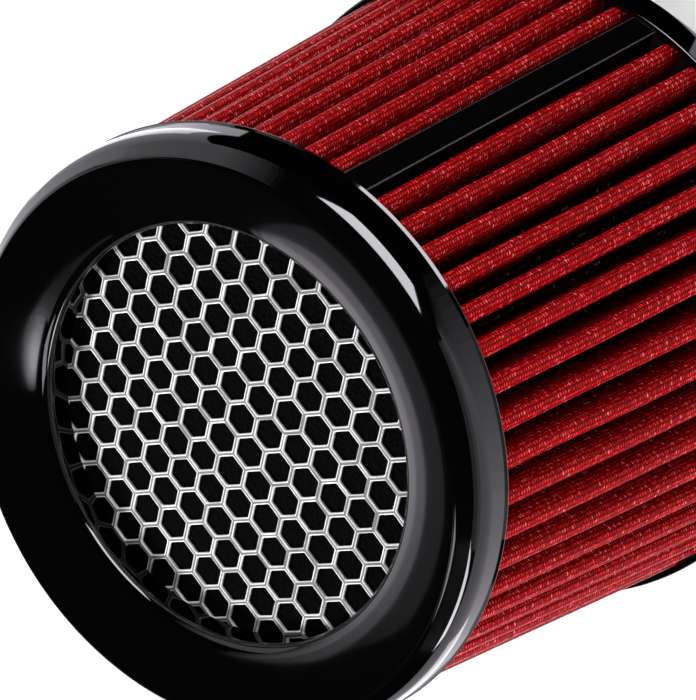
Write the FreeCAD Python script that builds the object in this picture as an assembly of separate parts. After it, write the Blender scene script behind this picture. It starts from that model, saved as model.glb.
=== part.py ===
"""Cone-shaped performance air filter, in millimetres.

The filter stands on the free end of its inlet neck with its axis along +Z, and the origin is the centre of
that end. From the bottom up it has a rubber inlet neck with a worm-drive clamp, a base cap, a tapering pack
of pleated gauze with a clip over its seam, and a bell-mouthed top cap with a hexagonal grille.
"""

import math
import os

import FreeCAD
import Part

# Inlet neck
inlet_bore_d = 76.0
neck_wall = 4.0
neck_length = 34.0
neck_lead_in = 0.8
neck_bead_height = 1.4
neck_bead_width = 4.0
neck_flange_width = 5.0
neck_flange_thickness = 3.0

# Pleated pack
pleat_count = 55
pleat_base_d = 148.0
pleat_top_d = 127.0
visible_pleat_length = 108.0
pleat_depth = 12.0
pleat_tip_radius = 1.9
tip_facets = 6
valley_facets = 4
media_thickness = 1.2
media_embed = 4.0
pleat_unevenness = 0.10
pleat_lobes = 3
widest_pleat_angle = -115.0
seam_angle = -59.0

# Seam clip over one pleat
clip_wall = 0.5
clip_leg = 4.0
clip_side_gap = 0.7
clip_top_gap = 0.1
clip_end_gap = 0.2

# Caps and their potting
fit_gap = 0.15
skirt_wall = 1.5
skirt_edge_radius = 0.7
seal_thickness = 3.0
base_cap_height = 14.0
base_skirt_wall = 1.0
base_floor = 3.0
base_rim_radius = 6.0
cap_side = 5.8
cap_rim_radius = 7.2
cap_rim_sweep = 40.0
crest_inset = 4.35
crest_radius = 1.5
mouth_rise = 1.5
mouth_lip = 4.05
mouth_edge_radius = 3.0
bell_radius = 250.0
rear_bead = 0.4
rear_bead_radius = 0.7
mesh_recess = 6.5
bay_wall = 1.5
bay_gap = 0.3

# Grille, pad and retaining ring behind the mouth
mesh_thickness = 0.8
mesh_pitch = 7.25
mesh_strand = 1.05
mesh_rim = 1.5
mesh_turn = 42.3
mesh_shift_x = 1.6
mesh_shift_y = -1.6
pad_thickness = 8.0
ring_spigot_height = 2.5
ring_spigot_wall = 2.0
ring_flange_thickness = 1.5

# Worm-drive clamp round the neck
clamp_angle = 90.0
band_width = 12.7
band_thickness = 0.7
band_gap = 0.05
band_height = 15.0
tail_start = -10.0
tail_end = 48.0
slot_count = 9
slot_pitch_deg = 3.4
slot_first_deg = 14.0
slot_length = 7.0
slot_width = 1.4
screw_radius = 3.4
screw_running_gap = 0.35
screw_body_length = 15.0
screw_collar_radius = 4.4
screw_collar_length = 1.2
screw_head_flats = 8.0
screw_head_length = 5.0
housing_wall = 0.8
housing_length = 13.0

# Levels along the axis
neck_r = inlet_bore_d / 2 + neck_wall
base_edge_z = neck_length + base_cap_height
floor_top_z = neck_length + base_floor
cap_edge_z = base_edge_z + visible_pleat_length
media_bottom_z = base_edge_z - media_embed
media_top_z = cap_edge_z + media_embed
rim_z = cap_edge_z + cap_side
mouth_z = rim_z + mouth_rise
mesh_top_z = mouth_z - mesh_recess
pad_top_z = mesh_top_z - mesh_thickness
pad_bottom_z = pad_top_z - pad_thickness
bay_bottom_z = pad_bottom_z - ring_spigot_height
roof_z = media_top_z + seal_thickness


def tip_r(z):
    """Radius of the pleat tips at a height."""
    taper = (pleat_top_d - pleat_base_d) / 2 / visible_pleat_length
    return pleat_base_d / 2 + taper * (z - base_edge_z)


def spread(z):
    """How much wider the folds stand at a height than at the top cap's edge."""
    return tip_r(z) / (pleat_top_d / 2)


def valley_r(z):
    """Radius that the folds leave free inside the pack at a height."""
    half = media_thickness / 2
    return spread(z) * (pleat_top_d / 2 - pleat_depth + half) - half


# Radii that follow from the pack
cap_skirt_r = pleat_top_d / 2 + fit_gap
cap_r = cap_skirt_r + skirt_wall
base_skirt_r = tip_r(media_bottom_z) + fit_gap
base_r = base_skirt_r + base_skirt_wall
bay_outer_r = valley_r(media_top_z) - bay_gap
bay_r = bay_outer_r - bay_wall
mouth_r = bay_r - mouth_lip


def point(r, z):
    """A point of a half section, drawn in the XZ plane."""
    return FreeCAD.Vector(r, 0, z)


def turned(*steps):
    """Solid of revolution about Z from a closed half section.

    Each step is (r, z) for a straight line to that point, or (r, z, via_r, via_z) for an arc via a point.
    """
    edges = []
    here = point(*steps[0][:2])
    for step in (*steps[1:], steps[0][:2]):
        end = point(*step[:2])
        if len(step) == 4:
            edges.append(Part.Arc(here, point(*step[2:]), end).toShape())
        else:
            edges.append(Part.LineSegment(here, end).toShape())
        here = end
    face = Part.Face(Part.Wire(edges))
    solid = face.revolve(FreeCAD.Vector(), FreeCAD.Vector(0, 0, 1), 360)
    return Part.Solid(solid) if solid.ShapeType != "Solid" else solid


def quarter(centre_r, centre_z, radius, degrees):
    """Point on a fillet's circle, for the via point of an arc."""
    angle = math.radians(degrees)
    return centre_r + radius * math.cos(angle), centre_z + radius * math.sin(angle)


def annulus(inner, outer, low, high):
    return turned((inner, low), (outer, low), (outer, high), (inner, high))


def at_angle(r, degrees, z=0.0):
    angle = math.radians(degrees)
    return FreeCAD.Vector(r * math.cos(angle), r * math.sin(angle), z)


def inlet_neck():
    """Rubber sleeve with a bead at its free end and a collar that sits on the base cap's floor."""
    bore = inlet_bore_d / 2
    bead_r = neck_r + neck_bead_height
    collar_r = neck_r + neck_flange_width
    collar_top = floor_top_z + neck_flange_thickness
    return turned(
        (bore + neck_lead_in, 0),
        (neck_r, 0),
        (neck_r, neck_bead_width, bead_r, neck_bead_width / 2),
        (neck_r, floor_top_z),
        (collar_r, floor_top_z),
        (collar_r, collar_top),
        (bore, collar_top),
        (bore, neck_lead_in),
    )


def base_cap():
    """Cup that holds the wide end of the pack, with a rounded rim and a hole for the neck."""
    rim_r = base_r - base_rim_radius
    rim_top_z = neck_length + base_rim_radius
    edge_r = base_r - skirt_edge_radius
    edge_z = base_edge_z - skirt_edge_radius
    hole_r = neck_r + fit_gap
    return turned(
        (hole_r, neck_length),
        (rim_r, neck_length),
        (base_r, rim_top_z, *quarter(rim_r, rim_top_z, base_rim_radius, -45)),
        (base_r, edge_z),
        (edge_r, base_edge_z, *quarter(edge_r, edge_z, skirt_edge_radius, 45)),
        (base_skirt_r, base_edge_z),
        (base_skirt_r, floor_top_z),
        (hole_r, floor_top_z),
    )


def rounded(corner, before, after, radius):
    """Start, end and via point of a fillet at a corner, from the unit directions of its two sides."""
    half = math.acos(before[0] * after[0] + before[1] * after[1]) / 2
    reach = radius / math.tan(half)
    middle = [a + b for a, b in zip(before, after)]
    length = math.hypot(*middle)
    apex = radius / math.sin(half) - radius
    start = [c + reach * u for c, u in zip(corner, before)]
    end = [c + reach * u for c, u in zip(corner, after)]
    via = [c + apex * u / length for c, u in zip(corner, middle)]
    return start, end, via


def top_cap():
    """Bell-mouthed ring with a bevelled rim, a channel for the pleat ends and a bay for the grille."""
    rim_centre = cap_r - cap_rim_radius
    bead_r = cap_r + rear_bead - rear_bead_radius
    bead_z = cap_edge_z + rear_bead_radius
    bead_turn = math.degrees(math.acos(1 - rear_bead / rear_bead_radius))
    bead_top = quarter(bead_r, bead_z, rear_bead_radius, bead_turn)
    sweep = math.radians(cap_rim_sweep)
    bevel = (math.sin(sweep), -math.cos(sweep))
    bevel_low = quarter(rim_centre, rim_z, cap_rim_radius, cap_rim_sweep)
    crest_r = cap_r - crest_inset
    crest = (crest_r, bevel_low[1] + (bevel_low[0] - crest_r) / math.tan(sweep))
    chord = math.hypot(crest_r - mouth_r, crest[1] - mouth_z)
    slope = math.atan2(crest[1] - mouth_z, crest_r - mouth_r)
    turn = math.asin(chord / 2 / bell_radius)
    dish = (-math.cos(slope - turn), -math.sin(slope - turn))
    dish_back = (math.cos(slope + turn), math.sin(slope + turn))
    round_start, round_end, round_via = rounded(crest, bevel, dish, crest_radius)
    lip_start, lip_end, lip_via = rounded((mouth_r, mouth_z), dish_back, (0, -1), mouth_edge_radius)
    sagitta = bell_radius * (1 - math.cos(turn))
    bell_via = (
        (crest_r + mouth_r) / 2 - sagitta * math.sin(slope),
        (crest[1] + mouth_z) / 2 + sagitta * math.cos(slope),
    )
    return turned(
        (cap_skirt_r, cap_edge_z),
        (bead_r, cap_edge_z),
        (*bead_top, *quarter(bead_r, bead_z, rear_bead_radius, (bead_turn - 90) / 2)),
        (cap_r, rim_z),
        (*bevel_low, *quarter(rim_centre, rim_z, cap_rim_radius, cap_rim_sweep / 2)),
        round_start,
        (*round_end, *round_via),
        (*lip_start, *bell_via),
        (*lip_end, *lip_via),
        (mouth_r, mesh_top_z),
        (bay_r, mesh_top_z),
        (bay_r, bay_bottom_z),
        (bay_outer_r, bay_bottom_z),
        (bay_outer_r, roof_z),
        (cap_skirt_r, roof_z),
    )


def pleat_angles():
    """Angle of each pleat tip: the first is at the seam, and the spacing swells and tightens around."""
    step = 360.0 / pleat_count
    phase = math.radians(pleat_lobes * (seam_angle - widest_pleat_angle))
    swing = math.degrees(pleat_unevenness / pleat_lobes)
    angles = []
    for k in range(pleat_count):
        wave = math.sin(math.radians(pleat_lobes * k * step) + phase) - math.sin(phase)
        angles.append(seam_angle + k * step + swing * wave)
    return angles


def fold_wire(z, offset):
    """Closed line of the folded sheet at a height, moved outwards from its middle by offset.

    The middle line grows evenly with the cone, which keeps each flank flat.
    """
    fold = spread(z) * (pleat_tip_radius - media_thickness / 2)
    tip_centre_r = spread(z) * (pleat_top_d / 2 - pleat_tip_radius)
    valley_centre_r = spread(z) * (pleat_top_d / 2 - pleat_depth + pleat_tip_radius)
    angles = pleat_angles()
    before = angles[-1] - 360.0
    line = []
    for angle, after in zip(angles, angles[1:] + [angles[0] + 360.0]):
        tip = at_angle(tip_centre_r, angle, z)
        valley_before = at_angle(valley_centre_r, (before + angle) / 2, z)
        valley = at_angle(valley_centre_r, (angle + after) / 2, z)
        next_tip = at_angle(tip_centre_r, after, z)
        rising = flank_normal(tip, valley_before, fold, -1)
        falling = flank_normal(tip, valley, fold, 1)
        next_rising = flank_normal(next_tip, valley, fold, -1)
        line += bend(tip, fold + offset, rising, falling, tip_facets)
        line += bend(valley, fold - offset, -falling, -next_rising, valley_facets)
        before = angle
    return Part.makePolygon(line + line[:1])


def bend(centre, radius, start, end, facets):
    """Points round a fold, turning from one direction to another."""
    turn = math.atan2(start.x * end.y - start.y * end.x, start.dot(end))
    up = FreeCAD.Vector(0, 0, 1)
    points = []
    for k in range(facets + 1):
        spin = FreeCAD.Rotation(up, math.degrees(turn * k / facets))
        points.append(centre + spin.multVec(start) * radius)
    return points


def flank_normal(tip, valley, fold, side):
    """Unit normal, pointing out of the pleat, of the flank between a tip's and a valley's fold circles."""
    across = valley - tip
    lean = math.asin(2 * fold / across.Length)
    direction = FreeCAD.Rotation(FreeCAD.Vector(0, 0, 1), math.degrees(side * lean)).multVec(across)
    direction.normalize()
    return FreeCAD.Vector(side * direction.y, -side * direction.x, 0)


def pleated_media():
    """Folded gauze sheet of even thickness, closed into a tapering ring."""
    half = media_thickness / 2
    outer, inner = (
        Part.makeLoft([fold_wire(media_bottom_z, offset), fold_wire(media_top_z, offset)], True, True)
        for offset in (half, -half)
    )
    return outer.cut(inner)


def clip_wire(z):
    """Channel section of the seam clip at a height, over the first pleat's tip."""
    top = tip_r(z) + clip_top_gap
    inside = pleat_tip_radius + clip_side_gap
    outside = inside + clip_wall
    foot = top - clip_leg
    roof = top + clip_wall
    outline = [
        (foot, -outside),
        (roof, -outside),
        (roof, outside),
        (foot, outside),
        (foot, inside),
        (top, inside),
        (top, -inside),
        (foot, -inside),
    ]
    radial = at_angle(1, seam_angle)
    across = at_angle(1, seam_angle + 90)
    corners = [radial * r + across * w + FreeCAD.Vector(0, 0, z) for r, w in outline]
    return Part.makePolygon(corners + corners[:1])


def seam_clip():
    """Channel that closes the pack's seam, from one cap's edge to the other's."""
    low = clip_wire(base_edge_z + clip_end_gap)
    high = clip_wire(cap_edge_z - clip_end_gap)
    return Part.makeLoft([low, high], True, True)


def hex_grille():
    """Flat grille of hexagonal cells inside a plain rim."""
    rim_outer = bay_r - fit_gap
    rim_inner = rim_outer - mesh_rim
    z = mesh_top_z - mesh_thickness
    cell_r = (mesh_pitch - mesh_strand) / math.sqrt(3)
    reach = int(rim_outer / mesh_pitch) + 3
    first = at_angle(mesh_pitch, mesh_turn)
    second = at_angle(mesh_pitch, mesh_turn + 60)
    shift = FreeCAD.Vector(mesh_shift_x, mesh_shift_y, z)
    cells = []
    for i in range(-reach, reach + 1):
        for j in range(-reach, reach + 1):
            centre = shift + first * i + second * j
            if math.hypot(centre.x, centre.y) < rim_inner + cell_r:
                corners = [centre + at_angle(cell_r, mesh_turn + 30 + 60 * k) for k in range(7)]
                cells.append(Part.Face(Part.makePolygon(corners)))
    base = FreeCAD.Vector(0, 0, z)
    up = FreeCAD.Vector(0, 0, 1)
    field = Part.Face(Part.Wire(Part.makeCircle(rim_outer, base, up)))
    clear = Part.Face(Part.Wire(Part.makeCircle(rim_inner, base, up)))
    openings = clear.common(Part.makeCompound(cells))
    return field.cut(openings).extrude(up * mesh_thickness)


def retaining_ring():
    """Ring that plugs the bay from inside and holds the pad and the grille against the mouth's lip."""
    outer = bay_r - fit_gap
    inner = outer - ring_spigot_wall
    return turned(
        (inner, bay_bottom_z - ring_flange_thickness),
        (bay_outer_r, bay_bottom_z - ring_flange_thickness),
        (bay_outer_r, bay_bottom_z),
        (outer, bay_bottom_z),
        (outer, pad_bottom_z),
        (inner, pad_bottom_z),
    )


def front_pad():
    """Foam disc that filters the air drawn in through the grille."""
    return Part.makeCylinder(bay_r - bay_gap, pad_thickness, FreeCAD.Vector(0, 0, pad_bottom_z))


def top_seal():
    return annulus(bay_outer_r + fit_gap, cap_skirt_r - fit_gap, media_top_z, roof_z)


def base_seal():
    inner = valley_r(media_bottom_z) - bay_gap
    return annulus(inner, base_skirt_r - fit_gap, floor_top_z, media_bottom_z)


# Radii of the clamp, outwards from the neck
band_inner_r = neck_r + band_gap
band_outer_r = band_inner_r + band_thickness
tail_outer_r = band_outer_r + band_thickness
screw_axis_r = tail_outer_r + housing_wall / 2 + screw_radius
screw_head_start = housing_length / 2 + screw_running_gap


def clamp_place(shape):
    """Puts a shape drawn about +X, with the screw along +Y, at the clamp's angle and height on the neck."""
    shape.translate(FreeCAD.Vector(0, 0, band_height))
    shape.rotate(FreeCAD.Vector(), FreeCAD.Vector(0, 0, 1), clamp_angle)
    return shape


def clamp_band():
    """Steel band with an overlapping slotted tail that runs through the screw housing."""
    half = band_width / 2
    low = FreeCAD.Vector(0, 0, -half)
    up = FreeCAD.Vector(0, 0, 1)
    ring = Part.makeCylinder(band_outer_r, band_width, low)
    ring = ring.cut(Part.makeCylinder(band_inner_r, band_width, low))
    sweep = tail_end - tail_start
    tail = Part.makeCylinder(tail_outer_r, band_width, low, up, sweep)
    tail = tail.cut(Part.makeCylinder(band_outer_r, band_width, low))
    tail.rotate(FreeCAD.Vector(), up, tail_start)
    slots = []
    for k in range(slot_count):
        slot = Part.makeBox(band_thickness, slot_width, slot_length)
        slot.translate(FreeCAD.Vector(band_outer_r, -slot_width / 2, -slot_length / 2))
        slot.rotate(FreeCAD.Vector(), up, slot_first_deg + k * slot_pitch_deg)
        slots.append(slot)
    tail = tail.cut(Part.makeCompound(slots))
    return clamp_place(ring.fuse(tail).removeSplitter())


def clamp_housing():
    """Folded saddle: two cheeks beside the band, shoulders over it and an arch over the screw."""
    inner_arch = screw_radius + screw_running_gap
    outer_arch = inner_arch + housing_wall
    cheek_in = band_width / 2 + fit_gap
    cheek_out = cheek_in + housing_wall
    shoulder_low = tail_outer_r + fit_gap
    shoulder_high = shoulder_low + housing_wall
    foot = band_inner_r + fit_gap

    def section(half_width, shoulder, arch):
        start = -housing_length / 2

        def place(r, w):
            return FreeCAD.Vector(r, start, w)

        arch_ends = [place(screw_axis_r, -arch), place(screw_axis_r + arch, 0), place(screw_axis_r, arch)]
        edges = [
            Part.LineSegment(place(foot, -half_width), place(shoulder, -half_width)).toShape(),
            Part.LineSegment(place(shoulder, -half_width), place(shoulder, -arch)).toShape(),
            Part.LineSegment(place(shoulder, -arch), place(screw_axis_r, -arch)).toShape(),
            Part.Arc(*arch_ends).toShape(),
            Part.LineSegment(place(screw_axis_r, arch), place(shoulder, arch)).toShape(),
            Part.LineSegment(place(shoulder, arch), place(shoulder, half_width)).toShape(),
            Part.LineSegment(place(shoulder, half_width), place(foot, half_width)).toShape(),
            Part.LineSegment(place(foot, half_width), place(foot, -half_width)).toShape(),
        ]
        return Part.Face(Part.Wire(edges)).extrude(FreeCAD.Vector(0, housing_length, 0))

    folded = section(cheek_out, shoulder_high, outer_arch)
    return clamp_place(folded.cut(section(cheek_in, shoulder_low, inner_arch)))


def clamp_screw():
    """Worm screw with a collar and a slotted hexagon head, its axis a tangent to the band."""
    along = FreeCAD.Vector(0, 1, 0)
    tail_end_y = screw_head_start - screw_body_length
    axis = FreeCAD.Vector(screw_axis_r, 0, 0)
    body = Part.makeCylinder(screw_radius, screw_body_length, axis + along * tail_end_y, along)
    collar_at = axis + along * screw_head_start
    collar = Part.makeCylinder(screw_collar_radius, screw_collar_length, collar_at, along)
    head_y = screw_head_start + screw_collar_length
    corner_r = screw_head_flats / math.sqrt(3)
    corners = []
    for k in range(7):
        angle = math.radians(60 * k)
        corners.append(axis + FreeCAD.Vector(corner_r * math.cos(angle), head_y, corner_r * math.sin(angle)))
    head = Part.Face(Part.makePolygon(corners)).extrude(along * screw_head_length)
    slot_across = screw_head_flats / 6
    slot = Part.makeBox(slot_across, screw_head_length / 2, 2 * screw_head_flats)
    slot.translate(axis + FreeCAD.Vector(-slot_across / 2, head_y + screw_head_length / 2, -screw_head_flats))
    return clamp_place(body.fuse([collar, head]).cut(slot).removeSplitter())


NODES = {
    "top_cap": top_cap,
    "hex_grille": hex_grille,
    "front_pad": front_pad,
    "retaining_ring": retaining_ring,
    "top_seal": top_seal,
    "pleated_media": pleated_media,
    "seam_clip": seam_clip,
    "base_seal": base_seal,
    "base_cap": base_cap,
    "inlet_neck": inlet_neck,
    "clamp_band": clamp_band,
    "clamp_housing": clamp_housing,
    "clamp_screw": clamp_screw,
}

os.makedirs("parts", exist_ok=True)
for name, build in NODES.items():
    shape = build()
    state = "valid" if shape.isValid() else "NOT VALID"
    print(name, len(shape.Solids), "solid", round(shape.Volume), "mm3", state)
    shape.exportStep(f"parts/{name}.step")
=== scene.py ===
"""Studio view of the cone air filter, seen from the front of its bell-mouth, on a pale floor.

The filter's lengths are in millimetres, turned into metres where meshes are made. The studio's are in metres.
"""

import math
import random

import bpy
from mathutils import Euler, Matrix, Vector


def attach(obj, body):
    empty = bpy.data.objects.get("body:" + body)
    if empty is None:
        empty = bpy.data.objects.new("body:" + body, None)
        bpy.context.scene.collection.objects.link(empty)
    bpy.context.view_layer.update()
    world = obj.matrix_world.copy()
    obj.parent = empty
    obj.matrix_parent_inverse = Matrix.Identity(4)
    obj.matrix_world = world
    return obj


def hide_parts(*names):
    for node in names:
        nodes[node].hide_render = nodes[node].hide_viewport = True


MM = 0.001

# Pleated pack
pleat_count = 55
pleat_base_d = 148.0
pleat_top_d = 127.0
visible_pleat_length = 108.0
pleat_depth = 12.0
pleat_tip_radius = 1.9
media_thickness = 1.2
pleat_unevenness = 0.10
pleat_lobes = 3
widest_pleat_angle = -115.0
seam_angle = -59.0
media_low = 44.0
media_high = 160.0
base_edge_z = 48.0
cap_edge_z = 156.0
pleat_waver = 0.3
waver_seed = 7
waver_phase = (0.0, 6.3)
waver_turns = (1.2, 2.6)
waver_strength = (0.5, 1.0)
outer_rows = 44
inner_rows = 10

# Weave of the gauze: size of a bead of thread, and the few beads paled as painted glints
weave_along = 0.86
weave_across = 1.12
weave_slant = 0.3
bead_fullness_along = 0.8
bead_fullness_across = 0.5
glint_from = 0.9
glint_focus = 3.0
glint_paleness = 0.14

# Top cap
cap_skirt_r = 63.65
cap_r = 65.15
cap_edge_radius = 0.7
rear_bead = 0.4
rim_z = 161.8
rim_radius = 7.2
rim_sweep = 40.0
crest_inset = 4.35
crest_radius = 1.5
mouth_r = 45.33
mouth_z = 163.3
mouth_edge_radius = 3.0
bell_radius = 250.0
mesh_top_z = 156.8
bay_r = 49.38
bay_outer_r = 50.88
bay_bottom_z = 145.5
roof_z = 163.0
rim_steps = 10
crest_steps = 10
crest_trim = 3
dish_steps = 24
mouth_trim = 4
mouth_steps = 16
bead_steps = 6
chamfer_holds = (0.1, 0.9, 1.0)

# Base cap
base_skirt_r = 74.539
base_r = 75.539
base_bottom_z = 34.0
base_floor_z = 37.0
base_rim_radius = 6.0
base_rim_steps = 12
neck_hole_r = 42.15

# Foam pad behind the grille
pad_r = 49.08
pad_low = 148.0
pad_high = 156.0
pad_edge_radius = 1.2
pad_edge_steps = 5
pad_middle_r = 0.5

# Worm screw
screw_y = 47.25
screw_z = 15.0
screw_core_r = 3.38
thread_height = 0.28
thread_width = 1.3
thread_pitch = 2.58
thread_start = -5.6
thread_end = 7.4
thread_sink = 0.05
thread_crest = 0.2
thread_facets = 40
thread_fade = 30

# Studio, in metres and degrees: floor, world and the sheets that lie on the floor
reach = 6.0
floor_tone = 0.9
world_tone = 0.015
film_height = 0.0005
cloth_height = 0.001
patch_height = 0.0015
pale_floor = 1.2
patch_light = 4.0
cloth_strips = 16
strips_from = -0.15
strip_width = 0.0125
strip_end = -0.1
strip_light = 1.1
strip_dimming = 0.07

# Cards in the air are placed by azimuth and elevation from the bell-mouth
aim_height = 0.163
card_tint = (0.96, 0.92, 1.0, 1)

# Streak on the left of the bell-mouth: ellipses that shrink and brighten, and a faint tail
streak_rings = 6
streak_points = 16
streak_centre = (-62.5, 60.7)
streak_drift = (-0.4, 0.35)
streak_long = (-6.5, 6.0)
streak_short = (2.0, 0.4)
streak_size = 1.25
streak_shrink = 0.18
streak_distance = 3.0
streak_gap = 0.01
streak_light = 1.3
tail_cards = 24
tail_start = ((-61.5, 54.0), (-55.0, 55.5))
tail_end = ((-37.5, 32.0), (-37.0, 34.0))
tail_distance = 3.05
tail_light = 0.2
tail_dimming = 0.74

# Foot of the walls, and the right wall with an end that fades
wall_low = -2.0
right_wall_end = 94.0
right_wall_top = 30.0
right_wall_distance = 3.0
right_wall_steps = 10
right_wall_step = 2.0

# Back wall, brighter towards its foot, under a round shade
wall_left = -14.8
wall_columns = 60
wall_foot = 1.8
wall_wide_from = -8.0
wall_bright_from = -12.0
wall_bright_to = 22.0
wall_fade = 0.7
shade_low = 3.2
shade_slope = 1.04
shade_round = 10.0
wall_bands = (
    {"lift": 2.2, "radiance": 2.0, "distance": 2.9, "narrows_from": 36.0, "end": 57.0},
    {"lift": 4.0, "radiance": 1.05, "distance": 3.0, "narrows_from": 36.0, "end": 57.0},
    {"lift": 7.5, "radiance": 0.2, "distance": 3.1, "narrows_from": 20.0, "end": 40.0},
)

# Camera
camera_lens = 181.06
camera_sensor = 36.0
camera_clip = 0.01
camera_place = (0, -0.4824, 0.70403)
camera_turn = (-20.1816, 34.3887, -123.5826)

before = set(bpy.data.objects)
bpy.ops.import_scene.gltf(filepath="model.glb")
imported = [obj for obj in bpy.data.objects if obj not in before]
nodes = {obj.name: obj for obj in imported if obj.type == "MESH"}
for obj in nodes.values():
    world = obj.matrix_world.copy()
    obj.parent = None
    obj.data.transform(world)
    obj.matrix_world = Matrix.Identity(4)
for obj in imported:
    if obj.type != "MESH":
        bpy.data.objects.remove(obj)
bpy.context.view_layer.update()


def mesh_object(name, verts, faces, smooth_angle=35):
    """A mesh from points in millimetres, smooth except across edges sharper than the angle."""
    mesh = bpy.data.meshes.new(name)
    mesh.from_pydata([[c * MM for c in v] for v in verts], [], faces)
    mesh.validate()
    mesh.shade_smooth()
    mesh.set_sharp_from_angle(angle=math.radians(smooth_angle))
    obj = bpy.data.objects.new(name, mesh)
    bpy.context.scene.collection.objects.link(obj)
    return obj


def arc(centre, radius, start, end, count):
    """Points of a circle's arc between two angles in degrees."""
    points = []
    for k in range(count + 1):
        angle = math.radians(start + (end - start) * k / count)
        points.append((centre[0] + radius * math.cos(angle), centre[1] + radius * math.sin(angle)))
    return points


def fillet(corner, before, after, radius, count):
    """Points of a fillet at a corner of a half section, between its neighbour points."""
    corner = Vector(corner)
    one = (Vector(before) - corner).normalized()
    two = (Vector(after) - corner).normalized()
    half = one.angle(two) / 2
    centre = corner + (one + two).normalized() * (radius / math.sin(half))
    start = corner + one * (radius / math.tan(half)) - centre
    end = corner + two * (radius / math.tan(half)) - centre
    turn = start.angle_signed(end)
    points = []
    for k in range(count + 1):
        angle = -turn * k / count
        spin = Matrix.Rotation(angle, 2)
        points.append(tuple(centre + spin @ start))
    return points


def with_holds(points, hold=0.12, long_run=1.0):
    """A closed half section with extra points near the ends of its long straight runs.

    They keep the flats flat where the shading is smooth.
    """
    dense = []
    for here, after in zip(points, points[1:] + points[:1]):
        here, after = Vector(here), Vector(after)
        dense.append(tuple(here))
        run = after - here
        if run.length > long_run:
            dense.append(tuple(here + run.normalized() * hold))
            dense.append(tuple(after - run.normalized() * hold))
    return dense


def revolved(name, section, segments=300):
    """Ring turned about Z from a closed half section."""
    section = with_holds(section)
    count = len(section)
    verts = []
    faces = []
    for s in range(segments):
        angle = 2 * math.pi * s / segments
        for r, z in section:
            verts.append((r * math.cos(angle), r * math.sin(angle), z))
        here = s * count
        after = (s + 1) % segments * count
        for k in range(count):
            up = (k + 1) % count
            faces.append((here + k, after + k, after + up, here + up))
    return mesh_object(name, verts, faces)


def cap_section():
    """Half section of the top cap: rear bead, rim, bevel, crest, bell and the mouth's rounded lip."""
    rim_centre = (cap_r - rim_radius, rim_z)
    rim = arc(rim_centre, rim_radius, 0, rim_sweep, rim_steps)
    bevel_low = rim[-1]
    crest_r = cap_r - crest_inset
    crest = (crest_r, bevel_low[1] + (bevel_low[0] - crest_r) / math.tan(math.radians(rim_sweep)))
    slope = math.atan2(crest[1] - mouth_z, crest_r - mouth_r)
    turn = math.asin(math.hypot(crest_r - mouth_r, crest[1] - mouth_z) / 2 / bell_radius)
    outer = 90 - math.degrees(-slope + turn)
    inner = 90 - math.degrees(-slope - turn)
    dish_centre = (
        mouth_r - bell_radius * math.cos(math.radians(inner)),
        mouth_z - bell_radius * math.sin(math.radians(inner)),
    )
    dish = arc(dish_centre, bell_radius, outer, inner, dish_steps)
    crest_round = fillet(crest, bevel_low, dish[crest_trim], crest_radius, crest_steps)
    lip = (mouth_r, mouth_z)
    mouth_round = fillet(lip, dish[-mouth_trim], (mouth_r, mesh_top_z), mouth_edge_radius, mouth_steps)
    bead_centre = (cap_r + rear_bead - cap_edge_radius, cap_edge_z + cap_edge_radius)
    bead_turn = math.degrees(math.acos(1 - rear_bead / cap_edge_radius))
    bead = arc(bead_centre, cap_edge_radius, -90, 0, bead_steps)
    foot = Vector(bead[-1])
    chamfer = Vector(arc(bead_centre, cap_edge_radius, 0, bead_turn, 1)[1]) - foot
    bead += [tuple(foot + chamfer * share) for share in chamfer_holds]
    inside = [
        (mouth_r, mesh_top_z),
        (bay_r, mesh_top_z),
        (bay_r, bay_bottom_z),
        (bay_outer_r, bay_bottom_z),
        (bay_outer_r, roof_z),
        (cap_skirt_r, roof_z),
        (cap_skirt_r, cap_edge_z),
    ]
    return inside + bead + rim + crest_round + dish[crest_trim:-mouth_trim] + mouth_round


def base_section():
    """Half section of the base cap."""
    rim_centre = (base_r - base_rim_radius, base_bottom_z + base_rim_radius)
    rim = arc(rim_centre, base_rim_radius, -90, 0, base_rim_steps)
    edge_centre = (base_r - cap_edge_radius, base_edge_z - cap_edge_radius)
    edge = arc(edge_centre, cap_edge_radius, 0, 90, bead_steps)
    inside = [
        (base_skirt_r, base_edge_z),
        (base_skirt_r, base_floor_z),
        (neck_hole_r, base_floor_z),
        (neck_hole_r, base_bottom_z),
    ]
    return rim + edge + inside


def pleat_angles():
    """Angle of each pleat's tip; the spacing swells and tightens round the pack."""
    step = 360.0 / pleat_count
    phase = math.radians(pleat_lobes * (seam_angle - widest_pleat_angle))
    swing = math.degrees(pleat_unevenness / pleat_lobes)
    angles = []
    for k in range(pleat_count + 1):
        wave = math.sin(math.radians(pleat_lobes * k * step) + phase) - math.sin(phase)
        angles.append(math.radians(seam_angle + k * step + swing * wave))
    return angles


def tip_r(z):
    """Radius of the pleats' tips at a height."""
    return pleat_base_d / 2 - (pleat_base_d - pleat_top_d) / 2 * (z - base_edge_z) / visible_pleat_length


def flank_angle(tip, valley, fold, side):
    """Angle of the normal, pointing out of the pleat, of the flank between a tip's and a valley's fold."""
    across = valley - tip
    along = math.atan2(across.y, across.x) + side * math.asin(2 * fold / across.length)
    return along - side * math.pi / 2


def near(angle, target):
    """The same angle, within half a turn of a target."""
    return angle + 2 * math.pi * round((target - angle) / (2 * math.pi))


def polar(r, angle):
    """Point at a radius and an angle."""
    return Vector((r * math.cos(angle), r * math.sin(angle)))


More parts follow.
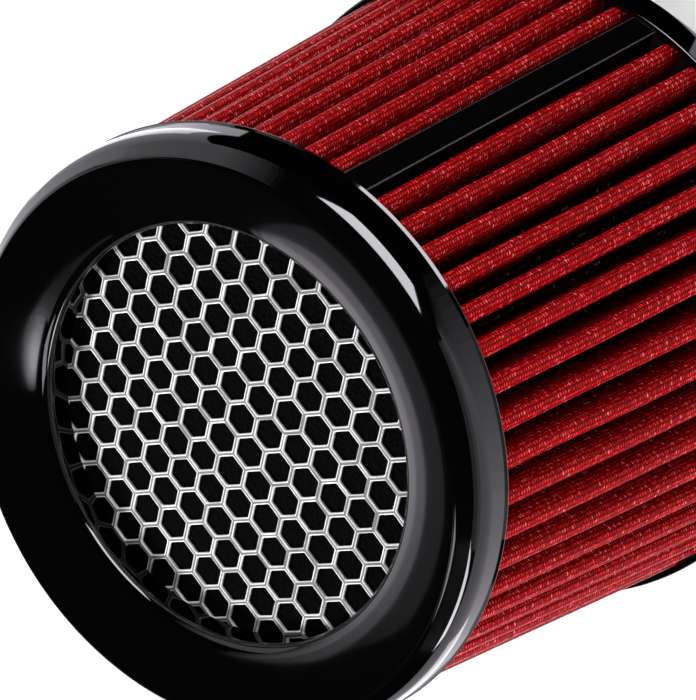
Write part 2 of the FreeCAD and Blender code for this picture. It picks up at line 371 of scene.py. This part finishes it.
def pleat_strip(before, here, after, z, offset, tip_steps, valley_steps, flank_steps):
    """One pleat's line at a height, from the middle of one valley to the middle of the next.

    The line is that of the folded sheet's middle moved outwards by offset. With it come the distances of its
    points from the tip.
    """
    spread = tip_r(z) / (pleat_top_d / 2)
    fold = spread * (pleat_tip_radius - media_thickness / 2)
    tip = polar(spread * (pleat_top_d / 2 - pleat_tip_radius), here)
    valley_centre_r = spread * (pleat_top_d / 2 - pleat_depth + pleat_tip_radius)
    halves = []
    for side, other in ((-1, before), (1, after)):
        middle = (here + other) / 2
        valley = polar(valley_centre_r, middle)
        normal = near(flank_angle(tip, valley, fold, side), here)
        inward = middle + math.pi
        wall = near(normal + math.pi, inward)
        points = []
        for k in range(tip_steps + 1):
            points.append(tip + polar(fold + offset, here + (normal - here) * k / tip_steps))
        foot = valley + polar(fold - offset, wall)
        for k in range(1, flank_steps):
            points.append(points[tip_steps].lerp(foot, k / flank_steps))
        for k in range(valley_steps + 1):
            points.append(valley + polar(fold - offset, wall + (inward - wall) * k / valley_steps))
        halves.append(points)
    line = halves[0][::-1] + halves[1][1:]
    lengths = [0.0]
    for one, two in zip(line, line[1:]):
        lengths.append(lengths[-1] + (two - one).length)
    centre = lengths[len(halves[0]) - 1]
    return line, [length - centre for length in lengths]


def pleated_media():
    """Folded gauze: an outer and an inner face of the same sheet, joined at both ends.

    Its weave is laid out in UV. With it comes the length of the sheet along all its folds.
    """
    angles = pleat_angles()
    angles = [angles[-2] - 2 * math.pi] + angles
    waver = random.Random(waver_seed)
    limits = (waver_phase, waver_turns, waver_strength)
    wobbles = [[waver.uniform(*limit) for limit in limits] for _ in angles]
    verts = []
    faces = []
    marks = []
    loops = []
    rows_of = {1: outer_rows, -1: inner_rows}
    for face_side, rows in rows_of.items():
        grid = []
        for row in range(rows + 1):
            z = media_low + (media_high - media_low) * row / rows
            fade = math.sin(math.pi * min(1, max(0, (z - base_edge_z) / visible_pleat_length)))
            ring = []
            for k in range(1, pleat_count + 1):
                line, lengths = pleat_strip(
                    *angles[k - 1 : k + 2],
                    z,
                    offset=face_side * media_thickness / 2,
                    tip_steps=4,
                    valley_steps=2,
                    flank_steps=3,
                )
                phase, turns, strength = wobbles[k]
                sway = pleat_waver * strength * fade * math.sin(phase + turns * math.pi * row / rows)
                if k == 1:
                    sway = 0.0
                across = polar(sway, angles[k] + math.pi / 2)
                low_r = line[0].length
                high_r = tip_r(z)
                for point, length in list(zip(line, lengths))[:-1]:
                    share = max(0.0, (point.length - low_r) / (high_r - low_r))
                    moved = point + across * share
                    ring.append(len(verts))
                    verts.append((moved.x, moved.y, z))
                    marks.append((k, length))
            grid.append(ring)
        count = len(grid[0])
        for low, high in zip(grid, grid[1:]):
            for c in range(count):
                corners = [low[c], low[(c + 1) % count], high[(c + 1) % count], high[c]]
                faces.append(corners if face_side > 0 else corners[::-1])
        loops.append((grid[0], grid[-1]))
    (outer_low, outer_high), (inner_low, inner_high) = loops
    for c in range(len(outer_low)):
        d = (c + 1) % len(outer_low)
        faces.append((outer_low[d], outer_low[c], inner_low[c], inner_low[d]))
        faces.append((outer_high[c], outer_high[d], inner_high[d], inner_high[c]))
    obj = mesh_object("gauze_pleats", verts, faces, smooth_angle=60)
    layer = obj.data.uv_layers.new(name="weave")
    for face in obj.data.polygons:
        strip = marks[face.vertices[0]][0]
        strips = [marks[v][0] for v in face.vertices]
        if len(set(strips)) > 1:
            strip = min(strips) if max(strips) - min(strips) == 1 else max(strips)
        for loop, vertex in zip(face.loop_indices, face.vertices):
            owner, length = marks[vertex]
            u = length if owner == strip else -length
            layer.data[loop].uv = (u, verts[vertex][2])
    developed = 0.0
    half_z = (media_low + media_high) / 2
    for k in range(1, pleat_count + 1):
        tips = angles[k - 1 : k + 2]
        lengths = pleat_strip(*tips, half_z, offset=0.0, tip_steps=8, valley_steps=8, flank_steps=1)[1]
        developed += lengths[-1] - lengths[0]
    return obj, developed


def foam_pad():
    """Soft disc with rounded edges behind the grille."""
    edge_r = pad_r - pad_edge_radius
    low = arc((edge_r, pad_low + pad_edge_radius), pad_edge_radius, -90, 0, pad_edge_steps)
    high = arc((edge_r, pad_high - pad_edge_radius), pad_edge_radius, 0, 90, pad_edge_steps)
    section = [(pad_middle_r, pad_low)] + low + high + [(pad_middle_r, pad_high)]
    segments = 120
    verts = []
    faces = []
    count = len(section)
    for s in range(segments):
        angle = 2 * math.pi * s / segments
        for r, z in section:
            verts.append((r * math.cos(angle), r * math.sin(angle), z))
        after = (s + 1) % segments
        for k in range(count - 1):
            faces.append((s * count + k, after * count + k, after * count + k + 1, s * count + k + 1))
    faces.append([s * count for s in range(segments)][::-1])
    faces.append([s * count + count - 1 for s in range(segments)])
    return mesh_object("foam_pad", verts, faces, smooth_angle=50)


def screw_thread():
    """Worm thread: a low ridge that winds round the screw's body."""
    turns = (thread_end - thread_start) / thread_pitch
    steps = int(turns * thread_facets)
    verts = []
    faces = []
    for k in range(steps + 1):
        angle = 2 * math.pi * turns * k / steps
        along = thread_start + (thread_end - thread_start) * k / steps
        rise = thread_height * min(1.0, k / thread_fade, (steps - k) / thread_fade)
        ridge = ((-0.5, -thread_sink), (-thread_crest, rise), (thread_crest, rise), (0.5, -thread_sink))
        for shift, height in ridge:
            r = screw_core_r + height
            y = screw_y + r * math.cos(angle)
            z = screw_z + r * math.sin(angle)
            verts.append((along + shift * thread_width, y, z))
        if k:
            for c in range(4):
                d = (c + 1) % 4
                faces.append((4 * k - 4 + c, 4 * k - 4 + d, 4 * k + d, 4 * k + c))
    faces.append((0, 1, 2, 3))
    faces.append((4 * steps + 3, 4 * steps + 2, 4 * steps + 1, 4 * steps))
    return mesh_object("worm_thread", verts, faces, smooth_angle=40)


class Nodes:
    """Short way to build a procedural material."""

    def __init__(self, name, colour, roughness, metallic=0.0):
        self.material = bpy.data.materials.new(name)
        self.material.use_nodes = True
        self.tree = self.material.node_tree
        self.shader = self.tree.nodes["Principled BSDF"]
        self.set("Base Color", (*colour, 1))
        self.set("Roughness", roughness)
        self.set("Metallic", metallic)

    def set(self, socket, value):
        self.shader.inputs[socket].default_value = value

    def node(self, kind, **inputs):
        made = self.tree.nodes.new(kind)
        for key, value in inputs.items():
            self.feed(made.inputs[key.replace("_", " ")], value)
        return made

    def feed(self, socket, value):
        if isinstance(value, bpy.types.NodeSocket):
            self.tree.links.new(value, socket)
        else:
            socket.default_value = value

    def math(self, operation, *values):
        made = self.tree.nodes.new("ShaderNodeMath")
        made.operation = operation
        for socket, value in zip(made.inputs, values):
            self.feed(socket, value)
        return made.outputs[0]

    def varied(self, source, low, swing):
        """Value that follows a source of 0 to 1, from low to low + swing."""
        return self.math("MULTIPLY_ADD", source, swing, low)

    def ramp(self, factor, *stops):
        made = self.tree.nodes.new("ShaderNodeValToRGB")
        self.feed(made.inputs[0], factor)
        elements = made.color_ramp.elements
        while len(elements) < len(stops):
            elements.new(1.0)
        for element, (position, colour) in zip(elements, stops):
            element.position = position
            element.color = (*colour, 1)
        return made.outputs[0]

    def mix(self, blend, factor, one, two):
        made = self.tree.nodes.new("ShaderNodeMix")
        made.data_type = "RGBA"
        made.blend_type = blend
        for index, value in ((0, factor), (6, one), (7, two)):
            self.feed(made.inputs[index], value)
        return made.outputs[2]

    def noise(self, scale, detail=2.0, vector=None):
        made = self.tree.nodes.new("ShaderNodeTexNoise")
        made.inputs["Scale"].default_value = scale
        made.inputs["Detail"].default_value = detail
        self.tree.links.new(vector or self.position(), made.inputs["Vector"])
        return made.outputs[0]

    def position(self):
        return self.tree.nodes.new("ShaderNodeTexCoord").outputs["Object"]

    def bump(self, height, strength, distance):
        made = self.node("ShaderNodeBump", Height=height, Strength=strength, Distance=distance)
        self.tree.links.new(made.outputs[0], self.shader.inputs["Normal"])

    def link(self, output, socket):
        self.tree.links.new(output, self.shader.inputs[socket])


def gloss_black():
    """Moulded plastic with a high gloss, a little smeared."""
    made = Nodes("gloss black plastic", (0.0004, 0.0004, 0.0005), 0.08)
    smear = made.noise(scale=90.0)
    made.link(made.varied(smear, low=0.03, swing=0.04), "Roughness")
    return made.material


def red_gauze():
    """Woven gauze: staggered beads of thread with a painted pink highlight on their tops, painted glints on a
    few, and painted shade between them and deeper in the folds.
    """
    made = Nodes("oiled red gauze", (0.5, 0.01, 0.02), 0.28)
    uv = made.tree.nodes.new("ShaderNodeUVMap")
    uv.uv_map = "weave"
    split = made.node("ShaderNodeSeparateXYZ", Vector=uv.outputs[0])
    stray = made.varied(made.noise(scale=700.0), low=-0.35, swing=0.7)
    across = made.math("MULTIPLY_ADD", split.outputs[0], 1 / weave_across, stray)
    row = made.math("FLOOR", across)
    shift = made.math("MULTIPLY", made.math("MODULO", row, 2.0), 0.5)
    along = made.math("MULTIPLY_ADD", split.outputs[1], 1 / weave_along, shift)
    along = made.math("ADD", along, made.math("MULTIPLY_ADD", across, weave_slant, stray))
    bead_across = made.math("ABSOLUTE", made.math("SINE", made.math("MULTIPLY", across, math.pi)))
    bead_along = made.math("ABSOLUTE", made.math("SINE", made.math("MULTIPLY", along, math.pi)))
    bead_across = made.math("POWER", bead_across, bead_fullness_across)
    bead_along = made.math("POWER", bead_along, bead_fullness_along)
    bead = made.math("MULTIPLY", bead_across, bead_along)
    place = made.node("ShaderNodeCombineXYZ", X=row, Y=made.math("FLOOR", along))
    chance = made.node("ShaderNodeTexWhiteNoise", Vector=place.outputs[0]).outputs["Value"]
    bead = made.math("MULTIPLY", bead, made.varied(made.noise(scale=1000.0), low=0.45, swing=0.6))
    bead = made.math("MULTIPLY", bead, made.varied(chance, low=0.95, swing=0.6))
    # Painted shade: the gauze darkens with its distance from a pleat's tip, deeper into the fold.
    depth = made.math("ABSOLUTE", split.outputs[0])
    fold = made.ramp(
        made.math("DIVIDE", depth, pleat_depth),
        (0.2, (1.0, 1.0, 1.0)),
        (0.52, (0.36, 0.36, 0.36)),
        (0.88, (0.04, 0.04, 0.04)),
    )
    # Colour of the weave's red thread, with painted shade between the beads and a painted pink highlight at
    # their tops.
    thread = made.ramp(
        bead,
        (0.1, (0.075, 0.0005, 0.001)),
        (0.6, (0.3, 0.0015, 0.003)),
        (0.85, (0.6, 0.005, 0.01)),
        (1.0, (0.9, 0.05, 0.06)),
    )
    # Painted glints: a few random beads are paled at their tops.
    glint_beads = made.math("GREATER_THAN", chance, glint_from)
    painted_glint = made.math("MULTIPLY", made.math("POWER", bead, glint_focus), glint_beads)
    glint_share = made.math("MULTIPLY", painted_glint, glint_paleness)
    red = made.mix("MULTIPLY", 1.0, thread, fold)
    made.link(made.mix("MIX", glint_share, red, (0.8, 0.55, 0.57, 1)), "Base Color")
    made.set("Specular IOR Level", 0.02)
    made.bump(bead, strength=0.7, distance=0.0004)
    return made.material


def plain(name, colour, roughness, metallic=0.0, grain=0.0, shine=0.5):
    """Even material with a fine grain in its surface."""
    made = Nodes(name, colour, roughness, metallic)
    made.set("Specular IOR Level", shine)
    if grain:
        made.bump(made.noise(scale=1500.0), strength=grain, distance=0.0001)
    return made.material


def silver(name, tone, metallic):
    """Pale metal with an uneven satin finish."""
    made = Nodes(name, (tone, tone, tone), 0.35, metallic)
    made.link(made.varied(made.noise(scale=400.0), low=0.28, swing=0.2), "Roughness")
    return made.material


def foam():
    """Black foam with open cells."""
    made = Nodes("open-cell foam", (0.0015, 0.0015, 0.0017), 0.9)
    made.set("Specular IOR Level", 0.05)
    cells = made.tree.nodes.new("ShaderNodeTexVoronoi")
    cells.inputs["Scale"].default_value = 900.0
    made.tree.links.new(made.position(), cells.inputs["Vector"])
    made.bump(cells.outputs["Distance"], strength=0.9, distance=0.0006)
    return made.material


def brushed(name, colour, roughness):
    """Metal strip with fine lines along its rolling direction, round the axis."""
    made = Nodes(name, colour, roughness, 1.0)
    stretch = made.node("ShaderNodeMapping", Vector=made.position(), Scale=(60.0, 60.0, 4000.0))
    lines = made.noise(scale=1.0, vector=stretch.outputs[0])
    made.link(made.varied(lines, low=roughness - 0.1, swing=0.2), "Roughness")
    made.bump(lines, strength=0.15, distance=0.00005)
    return made.material


def paint(obj, material):
    """Gives a piece one material."""
    obj.data.materials.clear()
    obj.data.materials.append(material)


def soften(obj, width, segments=2, weld_gap=1e-6, flat_angle=1, sharp_angle=40):
    """Breaks the sharp edges of a CAD piece."""
    weld = obj.modifiers.new("weld", "WELD")
    weld.merge_threshold = weld_gap
    flats = obj.modifiers.new("whole flats", "DECIMATE")
    flats.decimate_type = "DISSOLVE"
    flats.angle_limit = math.radians(flat_angle)
    bevel = obj.modifiers.new("broken edges", "BEVEL")
    bevel.width = width * MM
    bevel.segments = segments
    bevel.limit_method = "ANGLE"
    bevel.angle_limit = math.radians(sharp_angle)
    return bevel


black = gloss_black()
potting = plain("cast potting", (0.02, 0.02, 0.02), 0.5, grain=0.2)
steel = brushed("stainless strip", (0.62, 0.63, 0.64), 0.3)

top_cap = revolved("bell_mouth_cap", cap_section())
base_cap = revolved("base_cup", base_section())
gauze, developed = pleated_media()
pad = foam_pad()
thread = screw_thread()

for obj, node, slot, material in (
    (top_cap, "top_cap", "cap_plastic", black),
    (base_cap, "base_cap", "cap_plastic", black),
    (gauze, "pleated_media", "red_gauze", red_gauze()),
    (pad, "front_pad", "pad_foam", foam()),
):
    paint(obj, material)
    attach(obj, "filter")
    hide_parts(node)

screw_steel = plain("zinc-plated steel", (0.55, 0.56, 0.57), 0.3, metallic=1.0, grain=0.1)
paint(thread, screw_steel)
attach(thread, "clamp_screw")

for node, material, edge in (
    ("retaining_ring", plain("matte black plastic", (0.02, 0.02, 0.021), 0.5, grain=0.1), 0.2),
    ("top_seal", potting, 0.0),
    ("base_seal", potting, 0.0),
    ("inlet_neck", plain("black rubber", (0.02, 0.02, 0.021), 0.55, grain=0.1), 0.4),
    ("clamp_band", steel, 0.1),
    ("clamp_housing", steel, 0.15),
    ("clamp_screw", screw_steel, 0.2),
):
    paint(nodes[node], material)
    if edge:
        soften(nodes[node], edge)

# Each piece gets a paler copy of its material on its bevelled edges: painted highlight along the edges. The
# grille's own metal is the darker copy, painted shade on its flats.
for node, material, painted_edge_highlight, edge in (
    ("hex_grille", silver("aluminium", 0.18, 0.3), silver("aluminium with painted highlight on its edges", 0.8, 0.0), 0.3),
    (
        "seam_clip",
        plain("satin black plastic", (0.0005, 0.0005, 0.0006), 0.3, grain=0.05, shine=0.06),
        # Paler copy of the clip's plastic on its bevelled edges: painted highlight.
        plain("plastic with painted highlight on its edges", (0.05, 0.05, 0.055), 0.35, shine=0.4),
        0.25,
    ),
):
    paint(nodes[node], material)
    nodes[node].data.materials.append(painted_edge_highlight)
    bevel = soften(nodes[node], edge)
    bevel.use_clamp_overlap = False
    bevel.material = 1

# Floor, lights and camera


def flat_card(name, corners, material):
    """Flat card of the studio, with its corners in metres."""
    mesh = bpy.data.meshes.new(name)
    mesh.from_pydata(corners, [], [range(len(corners))])
    obj = bpy.data.objects.new(name, mesh)
    bpy.context.scene.collection.objects.link(obj)
    paint(obj, material)
    return obj


def on_floor(height, corners):
    """Corners of a sheet that lies on the floor."""
    return [(x, y, height) for x, y in corners]


def direction(azimuth, elevation):
    """Direction from the bell-mouth; azimuth 0 is behind the filter (+Y) and 90 is +X."""
    az, el = math.radians(azimuth), math.radians(elevation)
    return Vector((math.sin(az) * math.cos(el), math.cos(az) * math.cos(el), math.sin(el)))


def glow(name, corners, radiance):
    """Bright card that only the gloss of the filter shows."""
    made = Nodes(name, (0, 0, 0), 1.0)
    made.set("Specular IOR Level", 0.0)
    made.set("Emission Color", card_tint)
    made.set("Emission Strength", radiance)
    card = flat_card(name, corners, made.material)
    card.visible_camera = False
    card.visible_diffuse = False
    card.visible_shadow = False


def glow_card(name, corners, distance, radiance):
    """Bright card in the air, with corners as azimuth and elevation."""
    glow(name, [aim + direction(*corner) * distance for corner in corners], radiance)


def floor_patch(name, left, right, inner=0.18, outer=0.37):
    """Bright patch of the floor, between two azimuths and two distances from the filter's axis."""
    corners = []
    for azimuth, away in ((left, inner), (left, outer), (right, outer), (right, inner)):
        out = direction(azimuth, 0) * away
        corners.append((out.x, out.y, patch_height))
    glow(name, corners, patch_light)


def lamp(name, azimuth, elevation, distance, size, irradiance, receivers=None):
    """Soft light that lights the filter without showing in its gloss."""
    light = bpy.data.lights.new(name, "AREA")
    light.shape = "DISK"
    light.size = size
    light.energy = 4 * irradiance * distance**2
    obj = bpy.data.objects.new(name, light)
    out = direction(azimuth, elevation)
    obj.location = aim + out * distance
    obj.rotation_euler = out.to_track_quat("Z", "Y").to_euler()
    obj.visible_glossy = False
    bpy.context.scene.collection.objects.link(obj)
    if receivers:
        obj.light_linking.receiver_collection = receivers


def receivers_of(name, *objs):
    """Collection that a lamp is limited to."""
    made = bpy.data.collections.new(name)
    for obj in objs:
        made.objects.link(obj)
    return made


def streak_ring(k):
    """Corners of one of the streak's ellipses."""
    centre = Vector(streak_centre) + Vector(streak_drift) * k
    shrink = streak_size - streak_shrink * k
    corners = []
    for step in range(streak_points):
        turn = 2 * math.pi * step / streak_points
        along = Vector(streak_long) * math.cos(turn)
        across = Vector(streak_short) * math.sin(turn)
        corners.append(centre + (along + across) * shrink)
    return corners


def tail_edges(share):
    """Near and far edge of the streak's faint tail, which runs along the mouth."""
    return [Vector(start).lerp(Vector(end), share) for start, end in zip(tail_start, tail_end)]


def shade_edge(azimuth):
    """Elevation of the round shade's lower edge."""
    return shade_low + shade_slope * (math.hypot(azimuth, shade_round) - shade_round)


def wall_share(azimuth, whole_from, whole_to, end):
    """1 between two azimuths, falling to 0 at the ends of the back wall."""
    left_share = (azimuth - wall_left) / (whole_from - wall_left)
    right_share = (end - azimuth) / (end - whole_to)
    return max(0.0, min(1.0, left_share, right_share))


def band_top(azimuth, band):
    """Top of a band of the back wall, which narrows towards the ends."""
    spread = wall_share(azimuth, wall_wide_from, band["narrows_from"], band["end"])
    return shade_edge(azimuth) + wall_foot + (band["lift"] - wall_foot) * spread


aim = Vector((0, 0, aim_height))
whole_floor = ((-reach, -reach), (reach, -reach), (reach, reach), (-reach, reach))
floor_paint = plain("white floor", (floor_tone, floor_tone, floor_tone), 0.9, shine=0.0)
floor = flat_card("floor", on_floor(0, whole_floor), floor_paint)
world = bpy.data.worlds.new("studio")
world.use_nodes = True
world.node_tree.nodes["Background"].inputs[0].default_value = (world_tone, world_tone, world_tone, 1)
bpy.context.scene.world = world

floor_only = receivers_of("floor only", floor)
mouth_only = receivers_of("mouth only", nodes["hex_grille"], top_cap, pad)
key = {"azimuth": -8, "elevation": 42, "distance": 1.2, "size": 0.3}
lamp("overhead on the floor", 0, 90, distance=1.7, size=12.0, irradiance=24.0, receivers=floor_only)
lamp("key on the mouth", **key, irradiance=3.5, receivers=mouth_only)
lamp("back", **key, irradiance=2.0)
lamp("left", -100, 14, distance=1.3, size=0.6, irradiance=2.6)
lamp("right", 115, 14, distance=1.3, size=0.7, irradiance=1.35)
lamp("front", 180, 50, distance=1.3, size=0.7, irradiance=0.5)

# What the gloss of the caps mirrors: the pale floor with a dark cloth on the near right, boxes and walls
glow("pale floor", on_floor(film_height, whole_floor), pale_floor)
cloth = ((0.05, -reach), (reach, -reach), (reach, 0.01), (0.1, 0.01), (0.05, -0.05))
glow("dark cloth", on_floor(cloth_height, cloth), 0.0)
for k in range(cloth_strips):
    left = strips_from + strip_width * k
    right = left + strip_width
    strip = ((left, -reach), (right, -reach), (right, strip_end), (left, strip_end))
    glow("edge of the cloth", on_floor(cloth_height, strip), strip_light - strip_dimming * k)
floor_patch("bright floor on the right", 38, 82)
floor_patch("bright floor on the left", -82, -40)
glow_card(
    "dark corner",
    ((-80, 3), (-80, -1), (-64, -6), (-50, -11), (-40, -14), (-36, -14), (-36, 3)),
    distance=0.5,
    radiance=0.0,
)
for k in range(streak_rings):
    glow_card("streak", streak_ring(k), streak_distance - streak_gap * k, streak_light * (k + 1))
for k in range(tail_cards):
    near_here, far_here = tail_edges(k / tail_cards)
    near_after, far_after = tail_edges((k + 1) / tail_cards)
    corners = (near_here, near_after, far_after, far_here)
    glow_card("tail of the streak", corners, tail_distance, tail_light + tail_dimming**k)
glow_card("front box", ((139, -6), (166, -6), (174, 21), (127, 17)), distance=1.1, radiance=15.0)
glow_card(
    "left box",
    ((-114, 16.5), (-110, 11.5), (-104, 7), (-94, 3), (-84, 0), (-78, 3), (-92, 8.8), (-104, 13.2)),
    distance=3.0,
    radiance=15.0,
)
glow_card("high left box", ((-112, 30), (-82, 30), (-82, 52), (-112, 52)), distance=1.3, radiance=5.0)
glow_card("left wall", ((-176, -4), (-112, -4), (-112, 5), (-176, 5)), distance=2.0, radiance=0.75)
glow_card(
    "top of the left wall",
    ((-176, 5), (-112, 5), (-112, 15), (-176, 15)),
    distance=2.0,
    radiance=0.4,
)
glow_card(
    "right wall",
    ((46, wall_low), (right_wall_end, wall_low), (right_wall_end, right_wall_top), (46, 36)),
    distance=right_wall_distance,
    radiance=1.0,
)
for k in range(right_wall_steps):
    left = right_wall_end + right_wall_step * k
    right = left + right_wall_step
    corners = ((left, wall_low), (right, wall_low), (right, right_wall_top), (left, right_wall_top))
    level = 1 - (k + 0.5) / right_wall_steps
    glow_card("end of the right wall", corners, right_wall_distance, level)
for band in wall_bands:
    width = (band["end"] - wall_left) / wall_columns
    for k in range(wall_columns):
        left = wall_left + width * k
        right = left + width
        share = wall_share(left + width / 2, wall_bright_from, wall_bright_to, band["end"])
        tops = ((right, band_top(right, band)), (left, band_top(left, band)))
        corners = ((left, wall_low), (right, wall_low), *tops)
        glow_card("back wall", corners, band["distance"], band["radiance"] * share**wall_fade)

camera_data = bpy.data.cameras.new("camera")
camera_data.lens = camera_lens
camera_data.sensor_width = camera_sensor
camera_data.clip_start = camera_clip
camera = bpy.data.objects.new("camera", camera_data)
turn = Euler([math.radians(angle) for angle in camera_turn]).to_matrix().to_4x4()
camera.matrix_world = Matrix.Translation(camera_place) @ turn
bpy.context.scene.collection.objects.link(camera)
bpy.context.scene.camera = camera
bpy.context.scene.view_settings.view_transform = "Standard"
